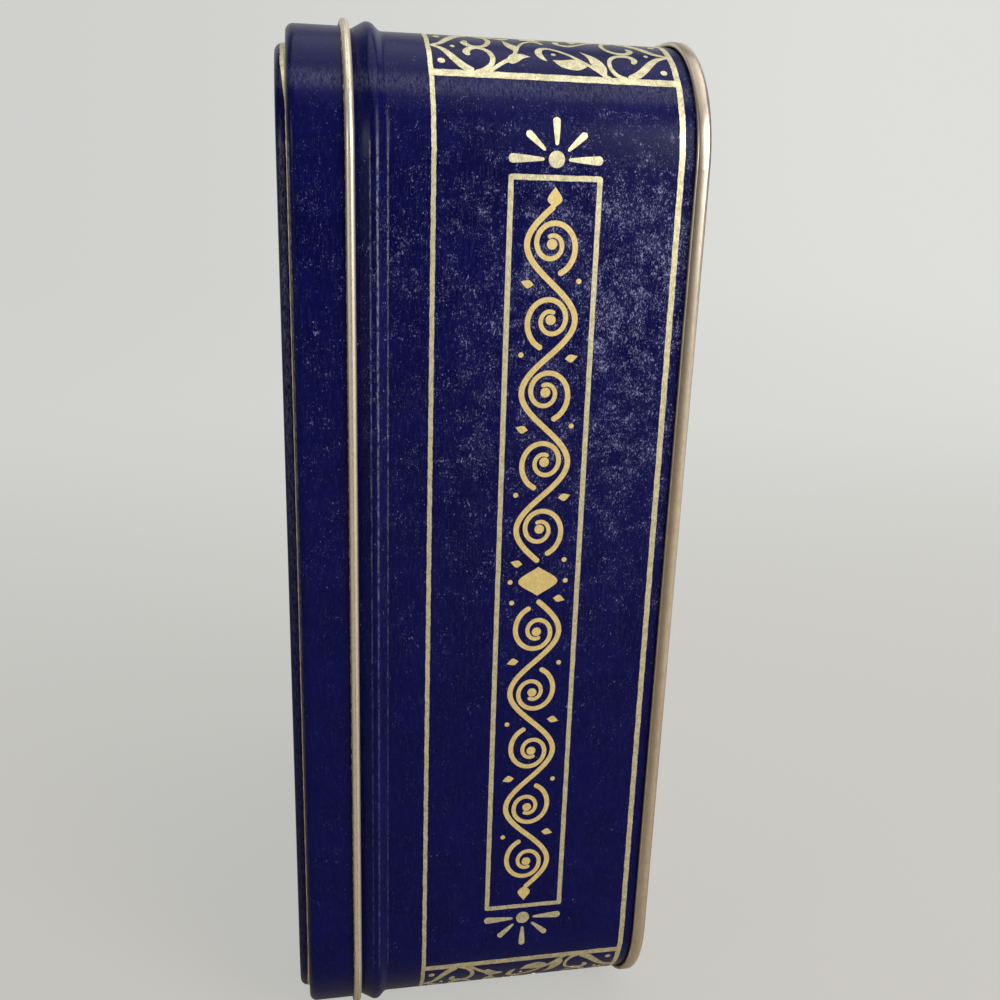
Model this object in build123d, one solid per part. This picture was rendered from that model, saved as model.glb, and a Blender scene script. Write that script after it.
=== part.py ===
"""Slip-lid tinplate box, rounded rectangle in plan, standing on one of its short ends.

Three sheet-metal pieces make the tin, as on the real one: the wall, which is one strip of
tinplate with its ends locked together, the base, which is double-seamed to the wall's foot,
and the lid, which is drawn from one blank and slips over the wall's mouth.

Each piece is first drawn lying flat, as the tin is used on a table: X along its length,
Y along its width, Z up from the rim that it rests on.  It is then stood on one short end:
+Z runs up along the tin's length, the lid faces -X and the base faces +X.  The origin is
the centre of the bounding box's bottom face.  All sizes are millimetres.
"""
import os

from build123d import *

# ---------------------------------------------------------------- overall sizes
body_length = 231.6         # outside of the wall, long way
body_width = 156.0          # outside of the wall, short way
corner_radius = 25.0        # outside of the wall, in plan
lid_ledge_height = 83.1     # base rim to the flat ledge round the lid's panel
panel_rise = 2.2            # the lid's panel above its ledge
sheet = 0.3                 # tinplate, all three pieces
sheet_half = sheet / 2

# ---------------------------------------------------------------- double seam at the base
seam_height = 3.2           # base rim to the top of the seam's outer face
seam_layer_gap = 0.1        # lacquer and sealing compound between two layers
seam_inner_bend = 0.4       # middle line of the sheet, chuck wall to base rim
seam_outer_bend = 0.85      # and base rim to the seam's outer face
hook_tip_clearance = 0.35   # from a hook's tip to the bend that it reaches into
countersink_depth = 3.8     # base rim to the middle line of the recessed base panel
countersink_bend = 0.9
base_step_inset = 9.0       # wall's outside to the shallow stiffening step in the base
base_step_rise = 0.7
base_step_run = 1.4
base_step_bend = 0.6

# ---------------------------------------------------------------- stop bead below the lid
bead_foot_height = 64.6     # where the bead leaves the wall, on the base's side
bead_crest_height = 66.75
bead_top_height = 70.4      # where the bead runs out, under the lid's curl
bead_reach = 1.9            # wall's outside to where the bead's two flanks would meet
bead_foot_bend = 1.5
bead_crest_bend = 1.6
bead_top_bend = 2.0

# ---------------------------------------------------------------- mouth and lid
slip_clearance = 0.3        # lid wall's inside to the body wall's outside
seat_clearance = 0.3        # mouth rim to the underside of the lid's ledge
mouth_curl_width = 1.8      # inward safe edge at the mouth, between its middle lines
mouth_curl_bend = 0.88
mouth_curl_tail = 1.3
lid_curl_height = 71.6      # base rim to the centre of the lid's outward curl
lid_curl_width = 1.5        # between the curl's middle lines
lid_curl_bend = 0.73
lid_curl_tail = 1.1
lid_edge_bend = 1.5         # middle line of the sheet, ledge to wall
ledge_width = 3.8           # lid wall's outside to the foot of the panel's flank
flank_run = 0.35            # the flank leans in by this much as it rises
flank_foot_bend = 0.55
flank_top_bend = 1.5

# ---------------------------------------------------------------- lock seam of the wall
lock_seam_width = 5.0       # folded layers, on the inside of the wall
lock_seam_layers = 2        # sheets that lie inside the wall there
lock_seam_from_corner = 14.0
joint_line_width = 0.35     # the fold that shows on the outside
joint_line_depth = 0.1
lock_seam_end_clearance = 0.6


# ---------------------------------------------------------------- worked out from the above
half_length = body_length / 2
half_width = body_width / 2
lid_top = lid_ledge_height + panel_rise
lid_wall_outside = slip_clearance + sheet
reach_beyond_wall = slip_clearance + sheet + lid_curl_width

# Middle lines of the four upright layers of the double seam, outwards from the wall's.
wall_line = -sheet_half
layer_step = sheet + seam_layer_gap
chuck_wall_line = wall_line - layer_step
cover_hook_line = wall_line + layer_step
body_hook_line = cover_hook_line + layer_step
seam_face_line = body_hook_line + layer_step
# A hook turns through a half circle between two layers that have one layer between them.
hook_bend = 0.98 * layer_step
body_hook_foot = sheet + seam_layer_gap + sheet_half


def section(points, bends):
    """The sheet's section: a middle line through points, rounded off at bends, given the
    sheet's thickness.  A point is (distance out from the wall's outer face, height)."""
    return trace(FilletPolyline(*points, radius=bends), sheet)


def ring(profile):
    """A section carried once round the tin: straight along the sides, turned at the corners."""
    side_run = half_length - corner_radius
    end_run = half_width - corner_radius
    on_side = Plane(origin=(0, -half_width, 0), x_dir=(0, -1, 0), z_dir=(-1, 0, 0)) * profile
    on_end = Plane(origin=(half_length, 0, 0), x_dir=(1, 0, 0), z_dir=(0, -1, 0)) * profile
    corner_axis = Axis((side_run, -end_run, 0), (0, 0, 1))
    side = extrude(on_side, amount=side_run, dir=(1, 0, 0))
    corner = revolve(Pos(side_run, 0, 0) * on_side, axis=corner_axis, revolution_arc=90)
    end = extrude(on_end, amount=end_run, dir=(0, -1, 0))
    quarter = side + corner + end
    half = quarter + mirror(quarter, about=Plane.YZ)
    return half + mirror(half, about=Plane.XZ)


def plate(outer_line, height):
    """A flat plate of the tin's outline drawn in to outer_line, its middle at height."""
    outline = RectangleRounded(
        body_length + 2 * outer_line, body_width + 2 * outer_line, corner_radius + outer_line
    )
    return Pos(0, 0, height - sheet_half) * extrude(outline, amount=sheet)


def make_base():
    """Recessed base panel, chuck wall, rounded base rim and the seam's cover hook."""
    step_outer = -base_step_inset
    step_inner = step_outer - base_step_run
    panel_height = countersink_depth + base_step_rise
    cover_hook_tip = body_hook_foot + sheet_half + hook_tip_clearance
    points = [
        (step_inner - 2 * base_step_bend, panel_height),
        (step_inner, panel_height),
        (step_outer, countersink_depth),
        (chuck_wall_line, countersink_depth),
        (chuck_wall_line, sheet_half),
        (seam_face_line, sheet_half),
        (seam_face_line, seam_height - sheet_half),
        (cover_hook_line, seam_height - sheet_half),
        (cover_hook_line, cover_hook_tip),
    ]
    bends = [
        base_step_bend,
        base_step_bend,
        countersink_bend,
        seam_inner_bend,
        seam_outer_bend,
        hook_bend,
        hook_bend,
    ]
    return ring(section(points, bends)) + plate(step_inner - base_step_bend, panel_height)


def make_wall():
    """The wall strip: body hook, upright wall with its stop bead, and a rolled-in mouth."""
    mouth_line = lid_ledge_height - sheet - seat_clearance - sheet_half
    body_hook_tip = seam_height - sheet - hook_tip_clearance
    mouth_inner = wall_line - mouth_curl_width
    points = [
        (body_hook_line, body_hook_tip),
        (body_hook_line, body_hook_foot),
        (wall_line, body_hook_foot),
        (wall_line, bead_foot_height),
        (bead_reach, bead_crest_height),
        (wall_line, bead_top_height),
        (wall_line, mouth_line),
        (mouth_inner, mouth_line),
        (mouth_inner, mouth_line - mouth_curl_width),
        (mouth_inner + mouth_curl_tail, mouth_line - mouth_curl_width),
    ]
    bends = [
        hook_bend,
        hook_bend,
        bead_foot_bend,
        bead_crest_bend,
        bead_top_bend,
        mouth_curl_bend,
        mouth_curl_bend,
        mouth_curl_bend,
    ]
    wall = ring(section(points, bends))

    # The strip's two ends, folded into each other on one long side near a corner.
    seam_x = half_length - corner_radius - lock_seam_from_corner
    seam_low = countersink_depth + sheet_half + lock_seam_end_clearance
    seam_high = bead_foot_height - bead_foot_bend - lock_seam_end_clearance
    folds_depth = lock_seam_layers * sheet
    folds_centre = (seam_x, half_width - sheet - folds_depth / 2, (seam_low + seam_high) / 2)
    folds = Pos(folds_centre) * Box(lock_seam_width, folds_depth, seam_high - seam_low)
    joint_x = seam_x - lock_seam_width / 2
    joint_low = seam_height + lock_seam_end_clearance
    joint_centre = (joint_x, half_width - joint_line_depth / 2, (joint_low + seam_high) / 2)
    joint_line = Pos(joint_centre) * Box(
        joint_line_width, joint_line_depth, seam_high - joint_low
    )
    return wall + folds - joint_line


def make_lid():
    """Raised panel, flat ledge, rounded edge, straight slip wall and an outward curl."""
    wall = slip_clearance + sheet_half
    ledge_line = lid_ledge_height - sheet_half
    panel_line = lid_top - sheet_half
    flank_foot = lid_wall_outside - ledge_width
    flank_top = flank_foot - flank_run
    curl_low = lid_curl_height - lid_curl_width / 2
    curl_outer = wall + lid_curl_width
    points = [
        (flank_top - 2 * flank_top_bend, panel_line),
        (flank_top, panel_line),
        (flank_foot, ledge_line),
        (wall, ledge_line),
        (wall, curl_low),
        (curl_outer, curl_low),
        (curl_outer, curl_low + lid_curl_width),
        (curl_outer - lid_curl_tail, curl_low + lid_curl_width),
    ]
    bends = [
        flank_top_bend,
        flank_foot_bend,
        lid_edge_bend,
        lid_curl_bend,
        lid_curl_bend,
        lid_curl_bend,
    ]
    panel_join = flank_top - 1.5 * flank_top_bend
    return ring(section(points, bends)) + plate(panel_join, panel_line)


def stand_on_end(shape):
    """From lying flat to standing on one short end, with the lid at -X."""
    return Pos(lid_top / 2, 0, half_length + reach_beyond_wall) * Rot(0, -90, 0) * shape


os.makedirs("parts", exist_ok=True)
pieces = {"base_plate": make_base(), "wall_strip": make_wall(), "lid_shell": make_lid()}
for name, piece in pieces.items():
    export_step(stand_on_end(piece), f"parts/{name}.step")
    print(name, "volume", round(piece.volume, 1), "size", piece.bounding_box().size)
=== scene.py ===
# %% [markdown]
# # A printed sewing tin, stood on one short end
# The real tin is three pieces of thin sheet: a wall strip, a base seamed to it and a lid that
# slips over the wall. They come from the construction model and stay as they are. What they lack
# is what the lithographer and years of use gave the tin: deep blue enamel with fine pale flecks,
# pale gold print, and bare gold-lacquered metal at the curl and the seam. This lesson adds that,
# as thin pieces of ink and as materials.

# %% Load the frame
import math

import bpy
import numpy as np
from mathutils import Matrix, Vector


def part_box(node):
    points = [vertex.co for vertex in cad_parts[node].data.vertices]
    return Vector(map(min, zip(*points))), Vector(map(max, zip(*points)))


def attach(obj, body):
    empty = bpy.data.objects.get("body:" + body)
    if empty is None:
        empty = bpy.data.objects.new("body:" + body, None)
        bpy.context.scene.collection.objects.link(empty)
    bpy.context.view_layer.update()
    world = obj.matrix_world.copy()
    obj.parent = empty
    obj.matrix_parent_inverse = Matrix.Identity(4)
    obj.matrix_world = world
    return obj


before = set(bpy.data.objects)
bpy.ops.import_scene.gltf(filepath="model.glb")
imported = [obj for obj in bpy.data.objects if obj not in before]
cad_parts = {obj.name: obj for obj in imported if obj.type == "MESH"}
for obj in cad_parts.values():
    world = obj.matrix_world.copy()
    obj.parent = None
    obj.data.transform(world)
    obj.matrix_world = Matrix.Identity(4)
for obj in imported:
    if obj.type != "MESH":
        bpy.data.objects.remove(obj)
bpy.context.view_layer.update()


for node in sorted(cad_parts):
    low, high = ([round(value, 4) for value in corner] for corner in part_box(node))
    print(node, "from", low, "to", high)

# %% [markdown]
# ## The wall as a sheet of paper
# Tinplate is printed flat and bent afterwards. A Curve modifier could do the bending here, and a
# picture wrapped round the tin could hold the print, but a picture has only so many dots, and a
# formula says exactly where each mark ends up. So each mark is drawn on a flat sheet of numbers:
# one length runs round the tin, upwards from the middle of the front long side, and the other is
# the height above the base rim. One function bends that sheet round the tin, so a mark can never
# leave the wall.

# %% The tin's sizes and the bending formula
MM = 0.001                           # every length below is in millimetres
body_length, body_width, corner_radius = 231.6, 156.0, 25.0
rim_x, middle_z = 42.65, 117.9       # the base rim on X, and the middle of the tin's length on Z
side_run = body_length / 2 - corner_radius
end_run = body_width / 2 - corner_radius
corner_run = corner_radius * math.pi / 2
stations = np.cumsum([-side_run, 2 * side_run, corner_run, 2 * end_run, corner_run,
                      2 * side_run, corner_run, 2 * end_run, corner_run])
turns = np.radians([0, 0, 90, 90, 180, 180, 270, 270, 360])
core_y = end_run * np.array([-1, -1, -1, 1, 1, 1, 1, -1, -1])
core_z = side_run * np.array([-1, 1, 1, 1, 1, -1, -1, -1, -1])
girth = stations[-1] - stations[0]


def round_tin(along, height, out):
    """A corner's centre plus (radius + out) in the station's direction, which turns by a quarter
    over each corner and stands still on the sides."""
    at = (along - stations[0]) % girth + stations[0]
    turn = np.interp(at, stations, turns)
    reach = corner_radius + out
    y = np.interp(at, stations, core_y) - reach * np.cos(turn)
    z = middle_z + np.interp(at, stations, core_z) + reach * np.sin(turn)
    return MM * np.stack(np.broadcast_arrays(rim_x - height, y, z), -1)


print("once round the wall:", round(girth, 2), "mm")

# %% [markdown]
# ## Ink as thin pads
# Print on a tin has crisp edges and shines in its own way. It could be a mask in the enamel's
# material, but scrolls are hard to write as a mask, and a thin closed mesh keeps every edge
# sharp. A pad is the strip between a mark's left and right edges, a few hundredths of a
# millimetre proud of the sheet and sunk a little into it. Rules, strokes and leaves are all pads.

# %% Pads, and the mesh that holds them
INK_PROUD, INK_SUNK = 0.04, 0.05


def on_wall(station, direction=1, height=0.0):
    """Puts drawing (u, v) at station + direction * u round the wall and at height + v."""
    def put(u, v, proud):
        return round_tin(station + direction * u, height + v, proud)
    put.mirrored = direction < 0
    return put


def pad(right, left, put, proud=INK_PROUD, rows=2):
    """A closed ring of points for each step along the edges: from the right edge to the left one
    on the ink's face, and back along its underside."""
    if put.mirrored:
        right, left = left, right
    share = np.linspace(0, 1, rows + 1)[None, :, None]
    flat = right[:, None, :] * (1 - share) + left[:, None, :] * share
    face = put(flat[..., 0], flat[..., 1], proud)
    under = put(flat[..., 0], flat[..., 1], -INK_SUNK)[:, ::-1]
    return np.concatenate([face, under], axis=1)


def ring_faces(steps, size, looped):
    """Quads between each ring and the next, and a strip of quads over each open end."""
    i = np.arange(steps if looped else steps - 1)[:, None]
    k = np.arange(size)[None, :]
    here, there = i * size, ((i + 1) % steps) * size
    k_next = (k + 1) % size
    quads = np.stack([here + k, there + k, there + k_next, here + k_next], -1).reshape(-1, 4)
    if looped:
        return quads
    j = np.arange(size // 2 - 1)
    start = np.stack([j, j + 1, size - 2 - j, size - 1 - j], -1)
    end = start[:, ::-1] + (steps - 1) * size
    return np.concatenate([quads, start, end])


def new_object(name, points, faces):
    """A smooth-shaded mesh object at the origin, in the scene."""
    mesh = bpy.data.meshes.new(name)
    mesh.from_pydata(points.tolist(), [], faces.tolist())
    mesh.shade_smooth()
    thing = bpy.data.objects.new(name, mesh)
    bpy.context.scene.collection.objects.link(thing)
    return thing


def add_piece(name, rings, finish, body, looped=False):
    """One mesh object from the rings of every pad, with its finish, its body and its slot."""
    points, faces, offset = [], [], 0
    for ring in rings:
        steps, size = ring.shape[:2]
        points.append(ring.reshape(-1, 3))
        faces.append(ring_faces(steps, size, looped) + offset)
        offset += steps * size
    piece = new_object(name, np.concatenate(points), np.concatenate(faces))
    piece.data.set_sharp_from_angle(angle=math.radians(35))
    piece.data.materials.append(finish)
    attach(piece, body)
    print(name, len(piece.data.polygons), "faces, rides on", body)


print("ink is", INK_PROUD, "mm proud of the sheet and", INK_SUNK, "mm sunk into it")

# %% [markdown]
# ## A pen for scrolls and leaves
# The ornament was drawn with a pen that swells and thins. A curve object with a bevel would be
# quick, but its section is round, and ink lies flat. Here a stroke is worked out as two edges,
# either side of a smooth curve through a few points with a width at each. A leaf is the space
# between two such curves that meet at its tip.

# %% Curves, strokes, discs and leaves
def smooth(points, count):
    """Catmull-Rom: between two points, a cubic whose slope at each is half the step between its
    neighbours."""
    p = np.asarray(points, float)
    p = np.concatenate([[2 * p[0] - p[1]], p, [2 * p[-1] - p[-2]]])
    t = np.linspace(0, len(points) - 1 - 1e-9, count)
    i = t.astype(int)
    f = (t - i)[:, None]
    a, b, c, d = p[i], p[i + 1], p[i + 2], p[i + 3]
    return 0.5 * (2 * b + (c - a) * f + (2 * a - 5 * b + 4 * c - d) * f ** 2
                  + (3 * b - a - 3 * c + d) * f ** 3)


def stroke(points, widths, steps_per_mm=2.5):
    """Edges half a width either side of a smooth line. The steps crowd together at its ends as
    a cosine does, and the ends are round: there the width falls as a circle's half chord does."""
    widths = np.broadcast_to(np.asarray(widths, float), len(points))
    line = smooth(np.column_stack([points, widths]), 400)
    run = np.concatenate([[0], np.cumsum(np.linalg.norm(np.diff(line[:, :2], axis=0), axis=1))])
    even = np.linspace(0, 1, max(10, int(run[-1] * steps_per_mm)))
    at = (0.5 * even + 0.25 * (1 - np.cos(math.pi * even))) * run[-1]
    u, v, width = (np.interp(at, run, line[:, k]) for k in range(3))
    slope = np.stack([np.gradient(u, at), np.gradient(v, at)], -1)
    slope /= np.linalg.norm(slope, axis=1)[:, None]
    half = width / 2
    for gap, cap in ((at, width[0] / 2), (run[-1] - at, width[-1] / 2)):
        near = np.clip(gap / max(cap, 1e-6), 0, 1)
        half = half * np.sqrt(np.clip(1 - (1 - near) ** 2, 4e-4, 1))
    aside = np.stack([-slope[:, 1] * half, slope[:, 0] * half], -1)
    line = np.stack([u, v], -1)
    return line - aside, line + aside


def disc(centre, radius):
    """A stroke as long as it is wide."""
    u, v = centre
    return stroke([(u - radius, v), (u + radius, v)], 2 * radius, steps_per_mm=8)


def leaf(one, other, steps=22):
    """Two smooth edges from foot to tip, in the order that gives their outline a positive area,
    which is the right one first."""
    one, other = smooth(one, steps), smooth(other, steps)
    u, v = np.concatenate([one, other[::-1]]).T
    area = np.sum(u * np.roll(v, -1) - np.roll(u, -1) * v)
    return (one, other) if area > 0 else (other, one)


def ragged(at, depth=0.03):
    """An edge that wanders as ink on tin does: three waves whose lengths share no multiple."""
    return depth * (np.sin(0.9 * at) + 0.7 * np.sin(2.3 * at + 1.0) + 0.8 * np.sin(5.3 * at + 2.0))


def rule(start, end, width):
    """A straight line with two ragged edges."""
    start, end = np.asarray(start, float), np.asarray(end, float)
    length = np.linalg.norm(end - start)
    t = np.linspace(0, 1, max(3, int(length * 2.6)))[:, None]
    slope = (end - start) / length
    side = np.array([-slope[1], slope[0]])
    at = t * length + start.sum()
    line = start + (end - start) * t
    return line - side * (width / 2 + ragged(at)), line + side * (width / 2 + ragged(at + 4.0))


print("a dot 1 mm across has", len(disc((0, 0), 0.5)[0]), "steps along each edge")

# %% [markdown]
# ## The corner bands
# A band of scrollwork wraps each corner. It is a common pattern: crossing diagonals and paired
# scrolls at each end, and leaves on tendrils between them. It could be one half and its mirror
# image, but only the two ends mirror, so the middle is drawn out in full. Points are millimetres
# from the upper rule (a) and from the band's first cross rule (b), and (u, v) = (b, -a): u runs
# round the tin and v up to the lid.

# %% The corner band's strokes, dots and leaves
UPPER_RULE, LOWER_RULE = 55.65, 5.9
DRAWN_WIDTH, BAND_WIDTH = 15.2, 17.1      # the band as drawn, and as it is on the tin
PEN = 0.86                                # the pen's width, as a share of the one noted below
CROSS_RULES = ((-0.1, 1.65), (BAND_WIDTH, 1.4))      # each one's place along u, and its width
BAND_LAYER = 0.0008                       # how much higher each stroke is than the one before
rule_gap = UPPER_RULE - LOWER_RULE


def turned(points):
    """(a, b) on the drawn band to (u, v) on the tin, stretched round the corner."""
    return [(b * BAND_WIDTH / DRAWN_WIDTH, -a) for a, b in points]


end_strokes = [
    ([(0.5, 7.7), (2.6, 6.5), (4.0, 4.7), (5.3, 2.9), (6.7, 1.5), (8.4, 0.5)],
     [0.7, 1.2, 1.65, 1.9, 2.0, 1.8]),
    ([(8.6, 0.1), (10.7, 1.1), (12.1, 2.6), (12.5, 4.4), (11.9, 6.2), (10.7, 7.2), (9.3, 7.4),
      (8.1, 6.9), (7.4, 5.8), (7.9, 4.7)],
     [1.6, 1.4, 1.2, 1.25, 1.2, 1.15, 1.15, 1.5, 1.7, 1.0]),
]
far_end_strokes = [
    ([(49.3, 7.5), (46.9, 6.6), (45.2, 5.1), (43.7, 3.4), (41.9, 1.7), (39.6, 0.5)],
     [0.7, 1.3, 1.75, 1.9, 2.0, 1.6]),
    ([(39.4, 0.2), (37.3, 1.3), (36.3, 3.2), (36.5, 5.3), (37.8, 6.7), (39.4, 7.1), (40.9, 6.9),
      (41.8, 5.8), (41.2, 4.6)],
     [1.5, 1.15, 1.0, 1.0, 1.0, 1.1, 1.2, 1.5, 1.0]),
]
dots = [((2.2, 2.8), 0.75), ((47.3, 2.5), 0.7)]
axis_dots = [((4.9, 7.6), 0.5), ((44.7, 7.6), 0.45)]
middle_strokes = [
    ([(11.3, 0.4), (13.0, 1.9), (14.6, 3.2), (16.3, 4.3)], [0.9, 1.0, 1.15, 1.3]),
    ([(16.6, 4.7), (17.4, 6.4), (18.4, 8.9), (19.8, 11.0), (21.7, 12.3), (22.9, 11.7),
      (23.7, 10.6)], [1.2, 0.9, 0.75, 0.7, 0.75, 0.9, 1.0]),
    ([(23.5, 4.2), (22.6, 5.1), (22.1, 6.5), (22.5, 7.9), (23.7, 8.6), (25.2, 8.3), (26.9, 7.4),
      (28.5, 6.3), (30.0, 5.0), (31.6, 3.7), (33.2, 2.4), (34.9, 0.9), (36.0, 0.2)],
     [0.3, 1.25, 1.7, 1.5, 1.0, 0.85, 0.8, 0.85, 0.9, 0.95, 1.0, 1.1, 1.2]),
    ([(24.6, 6.4), (25.6, 6.3)], [1.1, 0.9]),
    ([(35.4, 14.8), (33.2, 13.2), (31.2, 11.6), (29.2, 10.6), (27.4, 10.9), (26.6, 12.1),
      (27.4, 13.1)], [1.3, 1.0, 0.9, 0.95, 1.2, 1.5, 1.1]),
    ([(11.6, 14.9), (13.4, 13.4), (15.2, 12.9), (17.2, 13.5)], [0.9, 1.0, 1.1, 0.8]),
]
middle_leaves = [
    ([(15.2, 3.4), (16.3, 2.9), (17.6, 3.6), (18.7, 4.6), (20.2, 5.2)],
     [(15.2, 3.4), (15.9, 5.2), (17.2, 5.9), (18.6, 5.9), (20.2, 5.2)]),
    ([(16.8, 5.0), (18.0, 7.6), (18.0, 9.0), (16.9, 10.0), (15.4, 11.8)],
     [(16.8, 5.0), (17.0, 7.0), (16.1, 8.1), (15.6, 9.4), (15.4, 11.8)]),
    ([(24.6, 4.5), (26.2, 2.7), (28.9, 2.0), (30.6, 2.5), (32.0, 3.6)],
     [(24.6, 4.5), (26.6, 4.6), (28.9, 5.0), (30.6, 4.6), (32.0, 3.6)]),
    ([(35.2, 1.2), (35.4, 2.9), (34.7, 4.7), (33.2, 6.4), (30.8, 7.9)],
     [(35.2, 1.2), (33.4, 2.3), (32.4, 3.9), (32.0, 5.9), (30.8, 7.9)]),
    ([(18.9, 13.9), (20.2, 14.5), (22.0, 14.4), (24.2, 13.3)],
     [(18.9, 13.9), (19.9, 12.9), (21.9, 12.9), (24.2, 13.3)]),
    ([(29.8, 12.6), (31.0, 13.0), (32.2, 14.2), (32.4, 14.8)],
     [(29.8, 12.6), (29.6, 13.9), (30.7, 14.9), (32.4, 14.8)]),
]

print("a band's middle has", len(middle_strokes), "strokes and", len(middle_leaves), "leaves")

# %% [markdown]
# ## The band put together
# The strokes at the ends are drawn twice, once on either side of the band's middle line. Where
# strokes cross, two faces in one plane would flicker. A Boolean could join them, but it is slow
# and can fail on so many, so each stroke lies a hair's breadth higher than the one before.

# %% The corner band as a drawing
def far_side(points):
    """The same points on the other side of the band's middle line."""
    return [(a, DRAWN_WIDTH - b) for a, b in points]


def corner_band(put):
    """Cross rules, strokes, dots and leaves, each a hair's breadth higher than the one before, so
    that no two faces lie in one plane."""
    edges = [rule((at, -rule_gap), (at, 0), width) for at, width in CROSS_RULES]
    for points, widths in end_strokes + far_end_strokes:
        edges.append(stroke(turned(points), PEN * np.array(widths)))
        edges.append(stroke(turned(far_side(points)), PEN * np.array(widths)))
    for centre, radius in dots:
        edges.append(disc(turned([centre])[0], radius))
        edges.append(disc(turned(far_side([centre]))[0], radius))
    edges += [disc(turned([centre])[0], radius) for centre, radius in axis_dots]
    edges += [stroke(turned(points), PEN * np.array(widths)) for points, widths in middle_strokes]
    edges += [leaf(turned(one), turned(other)) for one, other in middle_leaves]
    return [pad(right, left, put, INK_PROUD + BAND_LAYER * (n + 1), rows=4)
            for n, (right, left) in enumerate(edges)]


print("a corner band has", len(corner_band(on_wall(0))), "pads")

# %% [markdown]
# ## Frame and half suns
# Each side has a thin frame with a half sun at either end, a plain old ornament. The frame could
# be a rectangle with a Wireframe modifier, but that makes sharp corners. Two rounded rectangles,
# one inside the other, give a line whose outer corners are soft, as ink leaves them.

# %% The frame's and the suns' drawing
FRAME_HIGH, FRAME_LOW, FRAME_LINE = 40.5, 22.6, 1.08
SUN_GAP = 3.45
frame_middle = (FRAME_HIGH + FRAME_LOW) / 2


def rounded_rectangle(half_u, half_v, radius, side_steps=60, corner_steps=5):
    """Four quarter circles with straight runs between them, and a slow wave in and out."""
    u, v = [], []
    for n, (sign_u, sign_v) in enumerate(((1, 1), (-1, 1), (-1, -1), (1, -1))):
        angle = np.linspace(n, n + 1, corner_steps) * math.pi / 2
        u.append(sign_u * (half_u - radius) + radius * np.cos(angle))
        v.append(sign_v * (half_v - radius) + radius * np.sin(angle))
    corners = np.stack([np.concatenate(u), np.concatenate(v)], -1)
    steps = np.tile([1] * (corner_steps - 1) + [side_steps], 4)
    places = np.concatenate([[0], np.cumsum(steps)])
    at = np.arange(places[-1])
    closed = np.concatenate([corners, corners[:1]])
    line = np.stack([np.interp(at, places, closed[:, k]) for k in (0, 1)], -1)
    return line + ragged(line.sum(axis=1, keepdims=True), 0.025)


def frame_edges(half_frame):
    """The outer and inner outline of a frame line, its outer corners softened by the ink."""
    half_high = (FRAME_HIGH - FRAME_LOW) / 2
    line = FRAME_LINE / 2
    return (rounded_rectangle(half_frame + line, half_high + line, 0.55),
            rounded_rectangle(half_frame - line, half_high - line, 0.12))


def half_sun(outwards):
    """A disc and five rays that widen outwards, on the side away from the frame."""
    rays = [((0, 2.4), (0, 9.6), 0.55, 1.9), ((0, -2.4), (0, -9.4), 0.55, 1.9),
            ((1.6, 2.2), (5.1, 6.0), 0.55, 1.5), ((1.6, -2.2), (5.1, -6.0), 0.55, 1.5),
            ((2.6, 0), (8.1, 0), 0.65, 1.6)]
    edges = [disc((0, 0), 1.62)]
    for start, end, thin, wide in rays:
        middle = ((start[0] + end[0]) / 2, (start[1] + end[1]) / 2)
        line = [(outwards * u, v) for u, v in (start, middle, end)]
        edges.append(stroke(line, [thin, (thin + wide) / 2 + 0.1, wide]))
    return edges


print("frame", round(FRAME_HIGH - FRAME_LOW, 1), "mm wide, with its middle", frame_middle, "mm up")

# %% [markdown]
# ## A running vine
# A vine fills the frame: a stem that waves from side to side, with a scroll curled into each
# wave, a traditional border. An Array modifier could repeat one wave, but a formula for the stem
# and one for the scroll make a vine for a frame of any length. Its second half is the first one
# turned by half a turn, and a lozenge joins them.

# %% The vine's drawing
WAVE, SWING, FIRST_SCROLL = 30.0, 5.3, 12.0    # the wave's length and swing, the first scroll's u
SPIRAL_FROM, SPIRAL_TURN = 196, 560            # degrees
SPIRAL_RADIUS, SPIRAL_SHRINK = 6.1, 0.00235    # at its start, and the share it loses in a degree


def vine(scrolls):
    """Half a vine. The stem is a sine wave. The scroll in each wave is a spiral whose radius
    shrinks by the same share at each degree, and it ends in a ball."""
    start = FIRST_SCROLL - WAVE / 4
    end = start + scrolls * WAVE / 2
    u = np.linspace(start, end, scrolls * 8 + 1)
    stem = np.stack([u, SWING * np.sin(2 * math.pi * (u - start) / WAVE)], -1)
    edges = [stroke(stem.tolist(), 1.2)]
    degrees = np.linspace(0, SPIRAL_TURN, 26)
    angle = np.radians(SPIRAL_FROM + degrees)
    radius = SPIRAL_RADIUS * np.exp(-SPIRAL_SHRINK * degrees)
    for n in range(scrolls):
        up = 1 if n % 2 == 0 else -1
        middle = FIRST_SCROLL + n * WAVE / 2
        spiral = np.stack([middle + radius * np.cos(angle),
                           up * (0.2 + 0.93 * radius * np.sin(angle))], -1)
        edges.append(stroke(spiral.tolist(), np.linspace(1.15, 0.85, len(spiral))))
        edges.append(disc((middle + 0.1, up * 0.2), 1.05))
        foot, tip = (middle - 7.9, up * 3.6), (middle - 7.3, up * 6.3)
        edges.append(leaf([foot, (middle - 7.0, up * 4.6), tip],
                          [foot, (middle - 8.6, up * 5.0), tip]))
        edges.append(disc((middle - 7.1, -up * 5.7), 0.55))
    foot, tip = (end - 0.4, 0), (end + 3.6, 0)
    edges.append(leaf([foot, (end + 1.2, -1.5), tip], [foot, (end + 1.2, 1.5), tip]))
    return edges


def half_turn(edges):
    """The same drawing turned by half a turn about its middle, which keeps its face up."""
    return [(-right, -left) for right, left in edges]


def lozenge():
    """The diamond at the vine's middle, and a dot above and below it."""
    return [leaf([(-3.4, 0), (0, -4.4), (3.4, 0)], [(-3.4, 0), (0, 4.4), (3.4, 0)]),
            disc((0, 6.2), 0.55), disc((0, -6.2), 0.55)]


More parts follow.
